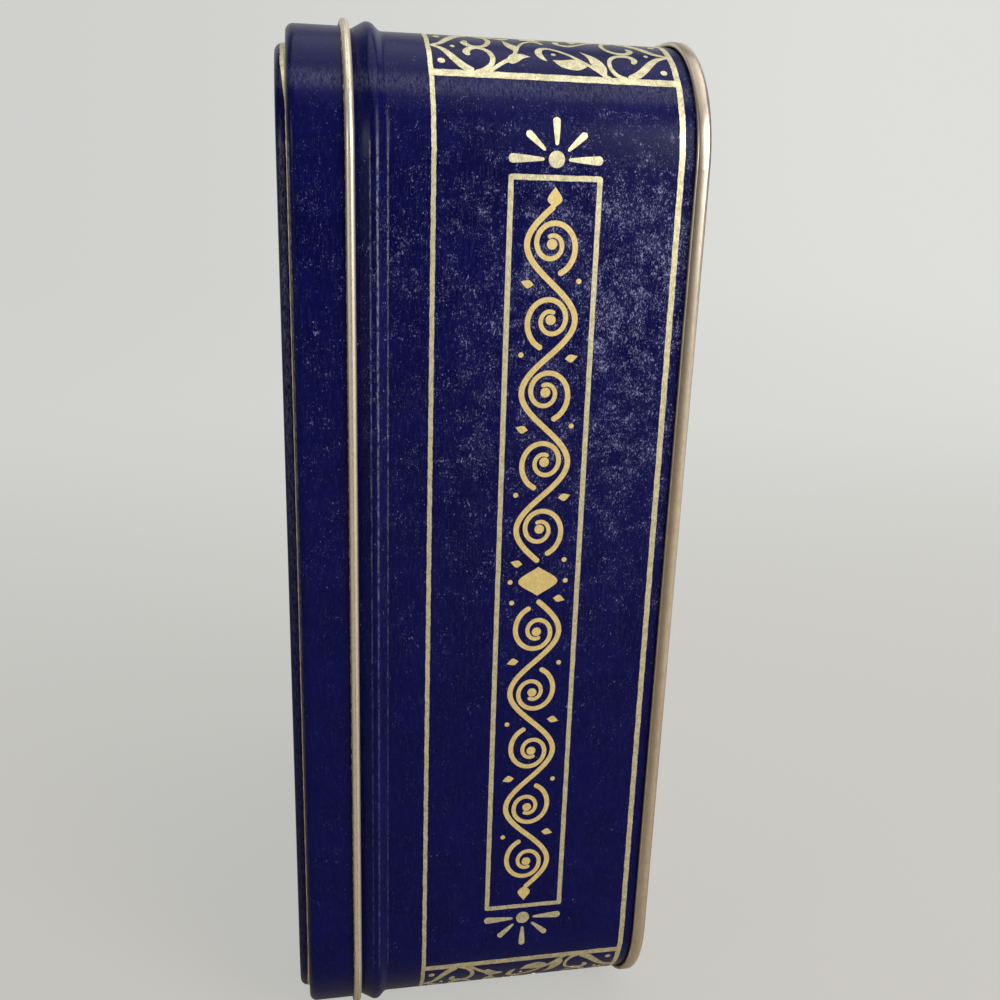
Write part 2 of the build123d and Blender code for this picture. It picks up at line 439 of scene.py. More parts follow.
print("half a vine with five scrolls has", len(vine(5)), "strokes, discs and leaves")

# %% [markdown]
# ## Finishes
# Four finishes cover the tin: blue enamel, pale gold ink, ochre ink and lacquered tinplate. What
# more than one of them needs is made once, as a node group. Nodes could be placed by hand in the
# shader editor, but a tree of a hundred nodes is easier to follow as formulas. So a small class
# adds nodes and links them, one short call for each.

# %% Helpers for node trees
FLOAT, VECTOR = "NodeSocketFloat", "NodeSocketVector"


def new_group(name, inputs, outputs):
    """An empty shader group with its inputs and outputs, a wiring helper for its tree, and its
    two end nodes."""
    tree = bpy.data.node_groups.new(name, "ShaderNodeTree")
    for socket, kind in inputs.items():
        tree.interface.new_socket(socket, in_out="INPUT", socket_type=kind)
    for socket in outputs:
        tree.interface.new_socket(socket, in_out="OUTPUT", socket_type=FLOAT)
    return Wiring(tree), tree.nodes.new("NodeGroupInput"), tree.nodes.new("NodeGroupOutput")


class Wiring:
    """Each call adds one node, links or sets its inputs, and gives back the output wanted."""

    def __init__(self, tree):
        self.tree = tree

    def fill(self, node, inputs):
        """Links each input that is given a socket, and sets each that is given a value."""
        for key, value in inputs.items():
            if isinstance(value, bpy.types.NodeSocket):
                self.tree.links.new(value, node.inputs[key])
            elif value is not None:
                node.inputs[key].default_value = value
        return node

    def node(self, kind, inputs=None, **settings):
        """A node of that kind. Its settings come first, because they decide its inputs."""
        node = self.tree.nodes.new("ShaderNode" + kind)
        for name, value in settings.items():
            setattr(node, name, value)
        return self.fill(node, inputs or {})

    def math(self, operation, a, b=None, c=None, clamp=False):
        """One step of arithmetic on up to three numbers."""
        node = self.node("Math", {0: a, 1: b, 2: c}, operation=operation, use_clamp=clamp)
        return node.outputs[0]

    def plus(self, a, b, clamp=False):
        """a plus b."""
        return self.math("ADD", a, b, clamp=clamp)

    def minus(self, a, b):
        """a minus b."""
        return self.math("SUBTRACT", a, b)

    def times(self, a, b):
        """a times b."""
        return self.math("MULTIPLY", a, b)

    def scaled(self, value, factor, start, clamp=False):
        """start plus factor times value."""
        return self.math("MULTIPLY_ADD", value, factor, start, clamp)

    def highest(self, *values):
        """The largest of several values."""
        top = values[0]
        for value in values[1:]:
            top = self.math("MAXIMUM", top, value)
        return top

    def between(self, share, a, b):
        """a plus share times the step from a to b."""
        return self.scaled(self.minus(b, a), share, a)

    def vector(self, operation, a, b=None, scale=None):
        """One step on whole vectors. A length and a dot product are numbers."""
        node = self.node("VectorMath", {0: a, 1: b, "Scale": scale}, operation=operation)
        return node.outputs["Value" if operation in ("LENGTH", "DOT_PRODUCT") else "Vector"]

    def split(self, vector):
        """X, Y and Z of a vector."""
        return self.node("SeparateXYZ", {0: vector}).outputs

    def join(self, x, y, z):
        """A vector of X, Y and Z."""
        return self.node("CombineXYZ", {0: x, 1: y, 2: z}).outputs[0]

    def mapping(self, vector, rotation=(0, 0, 0), scale=(1, 1, 1), location=(0, 0, 0)):
        """The vector scaled, then turned, then moved."""
        return self.node("Mapping", {"Vector": vector, "Rotation": rotation, "Scale": scale,
                                     "Location": location}).outputs[0]

    def noise(self, vector, scale, detail=2.0, rough=0.5):
        """Smooth noise about 0.5, in octaves that each double the scale."""
        return self.node("TexNoise", {"Vector": vector, "Scale": scale, "Detail": detail,
                                      "Roughness": rough}).outputs["Fac"]

    def cells(self, vector, scale):
        """The distance to the nearest of many scattered points, and that point's own colour."""
        outputs = self.node("TexVoronoi", {"Vector": vector, "Scale": scale}).outputs
        return outputs["Distance"], outputs["Color"]

    def fade(self, value, low, high, to_low=0.0, to_high=1.0):
        """to_low at low and to_high at high, with an S-shaped step between them."""
        inputs = dict(enumerate((value, low, high, to_low, to_high)))
        return self.node("MapRange", inputs, interpolation_type="SMOOTHSTEP").outputs[0]

    def blend(self, share, a, b):
        """Colour a where share is 0 and b where it is 1."""
        a, b = ((*colour, 1) if isinstance(colour, tuple) else colour for colour in (a, b))
        return self.node("Mix", {"Factor": share, 6: a, 7: b}, data_type="RGBA").outputs[2]

    def group(self, tree, **values):
        """The outputs of a shared group, its named inputs filled."""
        return self.node("Group", values, node_tree=tree).outputs


print("short calls for nodes:", *(name for name in vars(Wiring) if not name.startswith("_")))

# %% [markdown]
# ## Flecks and hairlines
# Years of handling leave pale flecks in the enamel and a few hair-fine scratches. A scanned
# picture of scratches would show its repeats, and noise has none. A fleck is where a fine noise
# passes a threshold, which falls where flecks crowd together. Three layers lie at different
# angles, as rubbing does. A hairline is where a stretched noise crosses one value, broken up by a
# second noise.

# %% The flecks and hairlines of handling
FLECK_LAYERS = ((35, 2.3), (-50, 3.2), (8, 4.4))     # degrees turned, and fineness
HAIR_TURNS = (6, -14, 55)                            # degrees


def make_flecks():
    """Threshold is 0.80 less 0.36 times the crowding. A layer's depth varies from 0.3 to 1."""
    w, given, result = new_group("fine_flecks", {"Place": VECTOR, "Amount": FLOAT},
                                 ["Flecks", "Hairs", "Clouds"])
    place, amount = given.outputs["Place"], given.outputs["Amount"]
    crowding = w.plus(w.noise(place, 0.30, 3.0, 0.65), w.scaled(amount, 0.34, -0.26))
    threshold = w.scaled(crowding, -0.36, 0.80)
    layers = []
    for n, (turn, fineness) in enumerate(FLECK_LAYERS):
        grain_place = w.mapping(place, rotation=(math.radians(turn), math.radians(20 * n), 0),
                                scale=(fineness, fineness, 0.55 * fineness),
                                location=(9.1 * n, 5.3 * n, 2.7 * n))
        fleck = w.fade(w.noise(grain_place, 1.0, 2.0, 0.6), threshold, w.plus(threshold, 0.10))
        depth = w.fade(w.noise(place, 0.9 + 0.3 * n, 1.0), 0.36, 0.62, 0.30, 1.0)
        layers.append(w.times(fleck, depth))
    # A soft haze where the flecks crowd is painted sheen.
    sheen_haze = w.times(w.fade(crowding, 0.40, 0.85), w.fade(w.noise(place, 1.3, 4.0, 0.7), 0.35, 0.70))
    hairs = []
    for n, turn in enumerate(HAIR_TURNS):
        hair_place = w.mapping(place, rotation=(math.radians(turn), 0, math.radians(9 * n)),
                               scale=(3.2, 3.2, 0.30), location=(13.7 * n, 3.1 * n, 7.9 * n))
        away = w.math("ABSOLUTE", w.minus(w.noise(hair_place, 1.0, 1.0, 0.5), 0.56))
        broken = w.fade(w.noise(hair_place, 0.8, 1.0), 0.48, 0.70)
        hairs.append(w.times(w.fade(away, 0.030, 0.0), broken))
    flecks = w.scaled(sheen_haze, 0.09, w.highest(*layers), clamp=True)
    w.fill(result, {"Flecks": flecks, "Hairs": w.highest(*hairs),
                    "Clouds": w.noise(place, 0.10, 3.0, 0.6)})
    return w.tree


flecks_tree = make_flecks()
print(flecks_tree.name, "has", len(flecks_tree.nodes), "nodes")

# %% [markdown]
# ## Thin ink over metal
# Gold ink and lacquer are so thin that the sheet shows through, and they never look even. A
# coarse noise alone looks like cloud and a fine one like sand, so the mottling is the mean of the
# two, with the fine grain stretched along a slant. Small round pits are Voronoi cells of uneven
# size.

# %% The mottling of thin ink and lacquer
def make_mottling():
    """The mean of a coarse and a fine noise, and the middles of Voronoi cells."""
    w, given, result = new_group("thin_ink", {"Place": VECTOR, "Scale": FLOAT},
                                 ["Mottle", "Pits"])
    spread = w.vector("SCALE", given.outputs["Place"], scale=given.outputs["Scale"])
    slanted = w.mapping(spread, rotation=(0, math.radians(45), 0), scale=(1.3, 1.0, 0.40))
    coarse, fine = w.noise(spread, 0.55, 4.0, 0.65), w.noise(slanted, 3.0, 3.0, 0.65)
    pit_distance, pit_colour = w.cells(spread, 1.4)
    pit_size = w.times(w.split(pit_colour)[0], 0.2)
    w.fill(result, {"Mottle": w.fade(w.between(0.5, coarse, fine), 0.37, 0.63),
                    "Pits": w.fade(pit_distance, pit_size, 0.0)})
    return w.tree


mottling_tree = make_mottling()
print(mottling_tree.name, "has", len(mottling_tree.nodes), "nodes")

# %% [markdown]
# ## Where a point is on the tin
# Wear and bare metal follow the tin's form: the bead's crest, the lid's edge, the corners. Vertex
# colours could mark those, but they would have to be painted again whenever the construction
# model is rebuilt. So the finishes work out each point's height above the base rim, its distance
# out from the wall's outline and whether its face looks outwards. The outline is every point at
# one distance from a smaller rectangle, so the distance past that rectangle says how far out a
# point is.

# %% Height, distance out and place along the tin
def make_tin_place():
    """Out is the length of the step past the inner rectangle, less the corner's radius. Level is
    0 at the lower end and 1 at the upper. Corner and Turn tell the corners from the sides."""
    w, given, result = new_group("tin_place", {"Place": VECTOR, "Normal": VECTOR},
                                 ["Height", "Out", "Facing", "Level", "Corner", "Turn"])
    x, y, z = w.split(given.outputs["Place"])
    flat_place = w.join(0.0, y, w.minus(z, middle_z))
    past = w.vector("SUBTRACT", w.vector("ABSOLUTE", flat_place), (0.0, end_run, side_run))
    past = w.vector("MAXIMUM", past, (0, 0, 0))
    outwards = w.vector("NORMALIZE", w.vector("MULTIPLY", past, w.vector("SIGN", flat_place)))
    past_parts = w.split(past)
    nearer = w.math("MINIMUM", past_parts["Y"], past_parts["Z"])
    w.fill(result, {"Height": w.minus(rim_x, x),
                    "Out": w.minus(w.vector("LENGTH", past), corner_radius),
                    "Facing": w.vector("DOT_PRODUCT", outwards, given.outputs["Normal"]),
                    "Level": w.math("DIVIDE", z, 2 * middle_z),
                    "Corner": w.math("DIVIDE", nearer, corner_radius),
                    "Turn": w.math("DIVIDE", past_parts["Z"], corner_radius)})
    return w.tree


place_tree = make_tin_place()
print(place_tree.name, "gives", [socket.name for socket in place_tree.interface.items_tree
                                 if socket.in_out == "OUTPUT"])

# %% [markdown]
# ## From groups to materials
# Inside, and on the rolled edges, the sheet shows gold lacquer and no enamel. Two materials on
# one mesh would need its faces cut along that edge. One material that holds both, and mixes them
# by the place on the tin, can put the edge anywhere. These helpers start a material, read places
# in millimetres and draw a line at one height.

# %% Shader and place helpers
def new_material(name):
    """A material with one Principled shader, and a wiring helper for its tree."""
    material = bpy.data.materials.new(name)
    material.use_nodes = True
    tree = material.node_tree
    return material, Wiring(tree), tree.nodes["Principled BSDF"]


def millimetres(w):
    """Object coordinates in millimetres, which are the tin's own."""
    return w.vector("SCALE", w.node("TexCoord").outputs["Object"], scale=1 / MM)


def face_normal(w):
    """The direction in which the face looks."""
    return w.node("NewGeometry").outputs["Normal"]


def bump(w, height, strength, distance):
    """A Bump node from a height in 0 to 1, its distance in metres."""
    node = w.node("Bump", {"Strength": strength, "Distance": distance, "Height": height})
    return node.outputs["Normal"]


def lacquer_colour(w, place, light, deep, scale=1.0):
    """Two tones of lacquer mixed by its mottling; and the mottling's own outputs."""
    ink = w.group(mottling_tree, Place=place, Scale=scale)
    return w.blend(ink["Mottle"], deep, light), ink


def height_line(w, tin, height, half_width):
    """1 at that height above the base rim, falling to 0 half a width away on either side."""
    away = w.math("ABSOLUTE", w.minus(tin["Height"], height))
    return w.fade(away, half_width, 0.3 * half_width)


print("materials read places in millimetres,", round(1 / MM), "to the metre")

# %% [markdown]
# ## What years of use did, and painted sheen and highlights
# Flecks and hairlines lie all over the enamel, more of them where hands and shelves rub, and
# there they also paint the sheen. Scuffs run along the edges that stand proud, with painted
# highlights along them, and a fine dark line runs along the curl. All of it could be
# painted on by hand, but it would be lost if the shape changed, so each kind is a small function
# of the place on the tin.

# %% Rubbing and painted sheen, pale marks, scuffs with painted highlights, and a dark line
LACQUER_LIGHT, LACQUER_DEEP = (0.90, 0.82, 0.65), (0.76, 0.67, 0.51)
BLUE_DEEP, BLUE_FULL = (0.0013, 0.0017, 0.051), (0.0018, 0.0024, 0.064)
# The scuff colour also paints the highlights along the bead and the lid's edge.
FLECK, SCUFF_AND_HIGHLIGHT = (0.31, 0.31, 0.54), (0.46, 0.46, 0.54)
CURL_MIDDLE, CURL_DARK_LINE = 71.6, (0.20, 0.17, 0.11)


def handling_and_sheen(w, tin):
    """How much a place is rubbed, and where sheen is painted: most a little below the upper end,
    and near the base.
    """
    level = tin["Level"]
    upper_end = w.times(w.fade(level, 0.22, 0.85), w.fade(level, 0.98, 0.82, 0.35, 1.0))
    return w.times(upper_end, w.fade(tin["Height"], 85.0, 15.0, 0.30, 1.0))


def pale_share(w, marks, rub_and_sheen):
    """How much of the enamel's colour the flecks and hairlines take."""
    flecks = w.times(marks["Flecks"], w.scaled(rub_and_sheen, 0.44, 0.43))
    hairs = w.times(marks["Hairs"], w.scaled(rub_and_sheen, 0.10, 0.04))
    return w.plus(flecks, hairs, clamp=True)


def scuffs_and_highlights(w, place, tin, worn_and_lit_edges):
    """Worn edges with painted highlights, broken up by a noise that runs along the wall,
    more of them higher up.
    """
    broken = w.fade(w.noise(w.mapping(place, scale=(2.6, 0.8, 0.8)), 1.0, 4.0, 0.75), 0.36, 0.66)
    edges = w.times(worn_and_lit_edges(w, tin), broken)
    return w.times(edges, w.fade(tin["Level"], 0.3, 0.9, 0.12, 0.55))


def curl_crown(w, place, tin):
    """A fine dark line along the middle of the lid's curl, uneven along its length."""
    line = w.times(height_line(w, tin, CURL_MIDDLE, 0.12), w.fade(tin["Out"], 1.8, 2.0))
    return w.times(line, w.fade(w.noise(place, 1.1, 3.0, 0.7), 0.40, 0.62, 0.15, 0.75))


print("flecks are", FLECK, "and scuffs", SCUFF_AND_HIGHLIGHT, "on enamel of", BLUE_FULL)

# %% [markdown]
# ## Where the enamel ends, and its worn and highlighted edges
# The wall's enamel stops below its rolled mouth, and the lid's at the crown of its curl, where
# the press wore an uneven edge. The inside has none. A face's direction and height are enough to
# tell, so nothing needs to be marked on the mesh. The worn lines, which also carry painted
# highlights, are read off the tin's section.

# %% The printed face, and the worn edges with their painted highlights
PRINT_TOP = 78.0                  # where the wall's enamel ends, below its rolled mouth
# The lid's edge line and the bead's lines carry scuffs and painted highlights.
LID_EDGE = 82.92                  # the most worn line round the lid's rounded edge
BEAD_LINES = (66.5, 67.9, 64.4)   # the bead's crest, its upper flank and its foot


def wall_outside(w, tin):
    """The wall's printed face looks outwards, and ends below the rolled mouth."""
    faces_out = w.fade(tin["Facing"], 0.02, 0.10)
    return w.times(faces_out, w.fade(tin["Height"], PRINT_TOP + 0.2, PRINT_TOP))


def lid_outside(w, tin):
    """The lid's printed face looks outwards or away from the base, and ends at the curl's crown,
    along an edge that the press wore uneven."""
    away = w.minus(tin["Facing"], w.split(face_normal(w))[0])
    worn_edge = w.scaled(w.noise(millimetres(w), 0.9, 3.0, 0.65), 0.5, CURL_MIDDLE + 0.6)
    above_curl = w.fade(tin["Height"], worn_edge, w.plus(worn_edge, 0.12))
    return w.times(w.fade(away, 0.02, 0.10), above_curl)


def with_corner_sheen_band(w, tin, lines):
    """Those lines fade out over the corners, where one faint band of painted sheen stands across
    each corner.
    """
    lines = w.times(lines, w.fade(tin["Corner"], 0.22, 0.04))
    away = w.math("ABSOLUTE", w.minus(tin["Turn"], 0.56))
    return w.scaled(w.fade(away, 0.11, 0.02), 0.20, lines)


def wall_scuffs_and_highlights(w, tin):
    """Scuffs and painted highlights along the bead's crest, on its flank above and where it leaves
    the wall.
    """
    crest, flank, foot = BEAD_LINES
    sides = w.highest(height_line(w, tin, flank, 0.22), height_line(w, tin, foot, 0.20))
    crest = height_line(w, tin, crest, 0.30)
    return with_corner_sheen_band(w, tin, w.highest(crest, w.times(sides, 0.8)))


def lid_scuffs_and_highlights(w, tin):
    """Scuffs and painted highlights round the lid's rounded edge and on the panel's flank."""
    edge = w.times(height_line(w, tin, LID_EDGE, 0.26), w.fade(tin["Out"], -1.2, -0.8))
    flank = w.times(w.fade(tin["Height"], 83.3, 83.9), w.fade(tin["Height"], 85.2, 84.6))
    return with_corner_sheen_band(w, tin, w.highest(edge, w.times(flank, 0.45)))


# The worn lines also carry painted highlights.
print("worn lines at", *BEAD_LINES, "mm on the wall and", LID_EDGE, "mm on the lid")

# %% [markdown]
# ## Blue enamel
# The enamel is deep blue under a soft sheen. A clear coat over a matt colour would give a sharper
# gleam than the real one has, so one Principled shader does it all. The colour is built up in
# layers: the blue with its slow change of depth, the pale marks with painted sheen among them, the
# scuffs with painted highlights. Where the sheet is bare, gold lacquer takes over.

# %% The enamel of the wall and of the lid
BARE_ROUGH = 0.44                 # the lacquer's roughness, where the sheet has no enamel


def blue_material(name, outside, worn_and_lit_edges):
    """Blue enamel where outside says the printed face is, gold lacquer elsewhere."""
    material, w, shader = new_material(name)
    place = millimetres(w)
    tin = w.group(place_tree, Place=place, Normal=face_normal(w))
    printed = outside(w, tin)
    # More flecks towards the upper end and the base: real rubbing, and painted sheen.
    rub_and_sheen = handling_and_sheen(w, tin)
    marks = w.group(flecks_tree, Place=place, Amount=rub_and_sheen)
    pale = pale_share(w, marks, rub_and_sheen)
    blue = w.blend(w.fade(marks["Clouds"], 0.35, 0.65), BLUE_DEEP, BLUE_FULL)
    # Scuffs with painted highlights over the flecked blue.
    blue = w.blend(scuffs_and_highlights(w, place, tin, worn_and_lit_edges), w.blend(pale, blue, FLECK), SCUFF_AND_HIGHLIGHT)
    gold, ink = lacquer_colour(w, place, LACQUER_LIGHT, LACQUER_DEEP)
    gold = w.blend(curl_crown(w, place, tin), gold, CURL_DARK_LINE)
    enamel_rough = w.scaled(pale, 0.1, w.scaled(marks["Clouds"], 0.08, 0.24))
    bare_rough = w.scaled(ink["Mottle"], -0.06, BARE_ROUGH)
    w.fill(shader, {"Base Color": w.blend(printed, gold, blue),
                    "Metallic": w.times(w.minus(1.0, printed), 0.85),
                    "Roughness": w.between(printed, bare_rough, enamel_rough),
                    "Specular IOR Level": 0.115,
                    "Normal": bump(w, w.noise(place, 2.2, 2.0), 0.12, 0.00006)})
    return material


wall_blue = blue_material("blue_enamel_wall", wall_outside, wall_scuffs_and_highlights)
lid_blue = blue_material("blue_enamel_lid", lid_outside, lid_scuffs_and_highlights)
print("enamel for the wall and the lid:", wall_blue.name, lid_blue.name)

# %% [markdown]
# ## Gold
# Two gold inks are printed on the enamel. The seam is bare tinplate under gold lacquer, with long
# scratches from the seaming roller, and painted shade where its face meets the wall. Scratches and
# the slight crown of the seam's face could be modelled, but they are finer than the sheet is thick,
# so a bump does for both.

# %% Gold inks and the seam's lacquer
SEAM_MIDDLE, SEAM_CROWN = 1.6, 0.00018      # millimetres above the base rim, and metres of crown
SEAM_LIGHT, SEAM_DEEP = (0.84, 0.74, 0.59), (0.72, 0.62, 0.48)
# The seam's second dark colour is painted shade.
SEAM_WORN, SEAM_SHADE = (0.30, 0.25, 0.18), (0.21, 0.155, 0.11)


def ink_material(name, light, deep, metal, rough):
    """Printed gold: a mottled colour, a little metal in it, and the print's fine grain."""
    material, w, shader = new_material(name)
    colour, ink = lacquer_colour(w, millimetres(w), light, deep)
    w.fill(shader, {"Base Color": w.blend(w.times(ink["Pits"], 0.5), colour, deep),
                    "Metallic": metal, "Roughness": w.scaled(ink["Mottle"], -0.10, rough),
                    "Normal": bump(w, ink["Mottle"], 0.15, 0.00004)})
    return material


def seam_material():
    """Tinplate under gold lacquer, with long fine scratches and a face crowned as a parabola is.
    Painted shade darkens it towards the wall and on the rim, less at the tin's lower end."""
    material, w, shader = new_material("champagne_lacquer")
    place = millimetres(w)
    colour, ink = lacquer_colour(w, place, SEAM_LIGHT, SEAM_DEEP, 0.5)
    lines = w.noise(w.mapping(place, scale=(6.0, 0.12, 0.12)), 1.0, 3.0, 0.6)
    worn = w.fade(w.scaled(ink["Pits"], 0.35, lines), 0.66, 0.85)
    height = w.minus(rim_x, w.split(place)[0])
    # Painted shade: darker towards the wall and on the rim, less at the tin's lower end.
    shade_beside_wall = w.times(w.fade(height, 0.7, 2.5, 0.0, 0.72), w.fade(height, 3.02, 2.82))
    shade_beside_wall = w.times(shade_beside_wall, w.fade(w.split(place)[2], 0.0, 110.0, 0.45, 1.0))
    seam_painted_shade = w.highest(shade_beside_wall, w.fade(height, 0.50, 0.22, 0.0, 0.55))
    away = w.times(w.minus(height, SEAM_MIDDLE), 1 / SEAM_MIDDLE)
    crown = w.scaled(w.times(away, away), -1.0, w.times(lines, 0.02))
    w.fill(shader, {"Base Color": w.blend(seam_painted_shade, w.blend(worn, colour, SEAM_WORN), SEAM_SHADE),
                    "Metallic": 1.0, "Roughness": w.scaled(lines, 0.12, 0.27),
                    "Normal": bump(w, crown, 1.0, SEAM_CROWN)})
    return material


pale_gold = ink_material("pale_gold_ink", (0.88, 0.82, 0.54), (0.55, 0.49, 0.30), 0.85, 0.52)
ochre_gold = ink_material("ochre_gold_ink", (0.98, 0.79, 0.35), (0.80, 0.60, 0.22), 0.62, 0.46)
for node, finish in (("wall_strip", wall_blue), ("lid_shell", lid_blue),
                     ("base_plate", seam_material())):
    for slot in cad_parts[node].material_slots:
        slot.material = finish
    print(node, "is finished in", finish.name)

# %% [markdown]
# ## Printing the wall
# The two rules run once round the tin and stop short at the lock seam on the back, where the real
# strip's ends meet. Every corner gets a band, and every side a frame, suns and a vine. They could
# be turned copies of one object, but a piece has to stay unturned at the origin, so the same
# functions draw each one at its own station. The band is mirrored where its first cross rule
# would otherwise be the one further from the long side's middle.

# %% Rules, corner bands, frames and vines
SEAM_FROM_CORNER, SEAM_HALF_WIDTH = 14.0, 2.5
JOINT_STATION = girth / 2 - (side_run - SEAM_FROM_CORNER - SEAM_HALF_WIDTH)    # on the back
JOINT_MARGIN = 0.5
PRINT_MIDDLE = 3.6                        # the print sits this much above the tin's middle
BAND_ABOVE, BAND_BELOW = 105.0, 101.6     # from the print's middle to its two first cross rules
SIDE_FRAME, END_FRAME = 84.75, 41.7       # half the frame's length on a long side and an end
VINE_LAYER = 0.0006                       # how much higher each stroke is than the one before


def round_rule(name, height, width):
    """A rule from one side of the joint line, all round the tin, to its other side."""
    start, end = JOINT_STATION + JOINT_MARGIN, JOINT_STATION + girth - JOINT_MARGIN
    right, left = rule((start, 0), (end, 0), width)
    add_piece(name, [pad(right, left, on_wall(0, 1, height))], pale_gold, "tin")


def print_side(name, station, half_frame, scrolls):
    """A frame, a half sun at either end of it and a vine inside it, round one station."""
    put = on_wall(station, 1, frame_middle)
    add_piece("print_frame_" + name, [pad(*frame_edges(half_frame), put)], pale_gold, "tin",
              looped=True)
    suns = []
    for outwards in (-1, 1):
        at = on_wall(station + outwards * (half_frame + SUN_GAP), 1, frame_middle)
        suns += [pad(right, left, at, rows=4) for right, left in half_sun(outwards)]
    add_piece("print_suns_" + name, suns, pale_gold, "tin")
    edges = vine(scrolls) + half_turn(vine(scrolls)) + lozenge()
    rings = [pad(right, left, put, INK_PROUD + VINE_LAYER * n)
             for n, (right, left) in enumerate(edges)]
    add_piece("print_vine_" + name, rings, ochre_gold, "tin")


round_rule("print_upper_rule", UPPER_RULE, 0.95)
round_rule("print_lower_rule", LOWER_RULE, 1.23)

front, back = PRINT_MIDDLE, PRINT_MIDDLE + girth / 2
end_middle = front + (BAND_ABOVE - BAND_BELOW) / 2
for corner, first_rule, direction in (("front_top", front + BAND_ABOVE, 1),
                                      ("front_low", front - BAND_BELOW, -1),
                                      ("back_top", back - BAND_BELOW, -1),
                                      ("back_low", back + BAND_ABOVE, 1)):
    add_piece("print_corner_" + corner, corner_band(on_wall(first_rule, direction, UPPER_RULE)),
              pale_gold, "tin")

print_side("front", front, SIDE_FRAME, 5)
print_side("back", back, SIDE_FRAME, 5)
print_side("top_end", end_middle + girth / 4, END_FRAME, 2)
print_side("low_end", end_middle - girth / 4, END_FRAME, 2)

# %% [markdown]
# ## The lid's gold edging
# A gold line follows the foot of the panel's flank. The sheet was pressed a little out of
# register, so the line is widest at the upper short end, less wide at the lower one and next to
# nothing along the sides. It could be a mask in the lid's material. One more pad, which follows
# the flank's own section, gives it the same ink and the same sharp edge as the rest of the print.

# %% The flank's section and its gold line
LEDGE_HEIGHT, PANEL_TOP = 83.1, 85.3
LID_WALL_OUT, LEDGE_WIDTH = 0.6, 3.8
FLANK_RUN, PANEL_RISE, SHEET, FOOT_BEND, TOP_BEND = 0.35, 2.2, 0.3, 0.55, 1.5
LINE_FOOT = 0.12                          # the line starts this far up the flank's section
flank_lean = math.atan2(FLANK_RUN, PANEL_RISE)
foot_radius, top_radius = FOOT_BEND - SHEET / 2, TOP_BEND + SHEET / 2
half_turned = math.tan((math.pi / 2 - flank_lean) / 2)
foot_centre = (LID_WALL_OUT - LEDGE_WIDTH + FOOT_BEND * half_turned, LEDGE_HEIGHT + foot_radius)
flank_straight = math.hypot(FLANK_RUN, PANEL_RISE) - (FOOT_BEND + TOP_BEND) * half_turned


def flank_section(run, proud):
    """Distance out and height, run millimetres up the flank from the ledge: the arc at its foot,
    the straight run and the arc over its top, each offset by proud."""
    quarter = math.pi / 2 - flank_lean
    arc = foot_radius * quarter
    turn = np.clip(run / foot_radius, 0, quarter)
    over = np.clip(run - arc, 0, flank_straight)
    tilt = flank_lean + np.clip((run - arc - flank_straight) / top_radius, 0, quarter)
    out = foot_centre[0] - (foot_radius - proud) * np.sin(turn) - over * math.sin(flank_lean)
    height = foot_centre[1] - (foot_radius - proud) * np.cos(turn) + over * math.cos(flank_lean)
    out = out + (top_radius + proud) * (np.cos(tilt) - math.cos(flank_lean))
    height = height + (top_radius + proud) * (np.sin(tilt) - math.sin(flank_lean))
    return out, height


def flank_line():
    """Rings round the tin. The line's top rises with the sine of the turn: 1 at the middle of
    the upper end, 0 along the sides and -1 at the lower end."""
    at = np.arange(0, girth, 0.8)
    rise = np.sin(np.interp((at - stations[0]) % girth + stations[0], stations, turns))
    upper, lower = np.clip((rise - 0.40) / 0.38, 0, 1), np.clip(-rise / 0.8, 0, 1)
    top = 0.45 + 0.85 * upper + 0.45 * lower + ragged(at, 0.02)
    runs = LINE_FOOT + (top[:, None] - LINE_FOOT) * np.linspace(0, 1, 9)[None, :]
    face, under = (round_tin(at[:, None], height, out) for out, height in
                   (flank_section(runs, proud) for proud in (INK_PROUD, -INK_SUNK)))
    return np.concatenate([face, under[:, ::-1]], axis=1)


add_piece("lid_flank_line", [flank_line()], pale_gold, "lid", looped=True)

# %% [markdown]
# ## The lid's panel
# The photograph doesn't show the panel's face. It could stay plain, but such tins are printed
# there too, so it gets what they usually have: a double rule, a scroll spray in each corner and a
# sun at the middle. All of it uses the same pen as the wall.

# %% Border, sprays and middle sun
PANEL_PROUD = 0.02
SPRAY_LAYER, SWAPPED_LIFT = 0.0005, 0.004      # each stroke's step up, and the swapped copy's
SPRAY_INSET = 1.0                              # how far outside the corner's centre a spray starts
BORDERS = ((9.0, 1.1), (12.2, 0.7))            # each rule's place in from the wall, and its width
SUN_RAYS, LONG_RAY, SHORT_RAY, RAY_FOOT = 16, 21.0, 16.0, 8.6


def on_panel(at_z, at_y, flip_z=1, flip_y=1, swap=False):
    """Puts drawing (u, v) on the panel's face, u along the tin's length and v across it, or the
    other way about if they are swapped."""
    def put(u, v, proud):
        if swap:
            u, v = v, u
        y, z = at_y + flip_y * v, middle_z + at_z + flip_z * u
        return MM * np.stack(np.broadcast_arrays(rim_x - PANEL_TOP - proud, y, z), -1)
    put.mirrored = (flip_z * flip_y < 0) != swap
    return put


def round_panel(u, v, proud):
    """Puts drawing (u, v) at station u, v inside the wall's outline, on the panel's face."""
    return round_tin(u, PANEL_TOP + proud, -v)


def border(inset, width):
    """A rule that follows the panel's edge all round."""
    u = np.arange(0, girth, 1.0)
    right, left = (np.stack([u, np.full_like(u, inset + side * width / 2)], -1) for side in (-1, 1))
    return pad(right, left, round_panel, PANEL_PROUD)


def turned_over(edges):
    """The same drawing turned over its u axis, which makes each right edge a left one."""
    return [(left * np.array([1, -1]), right * np.array([1, -1])) for right, left in edges]


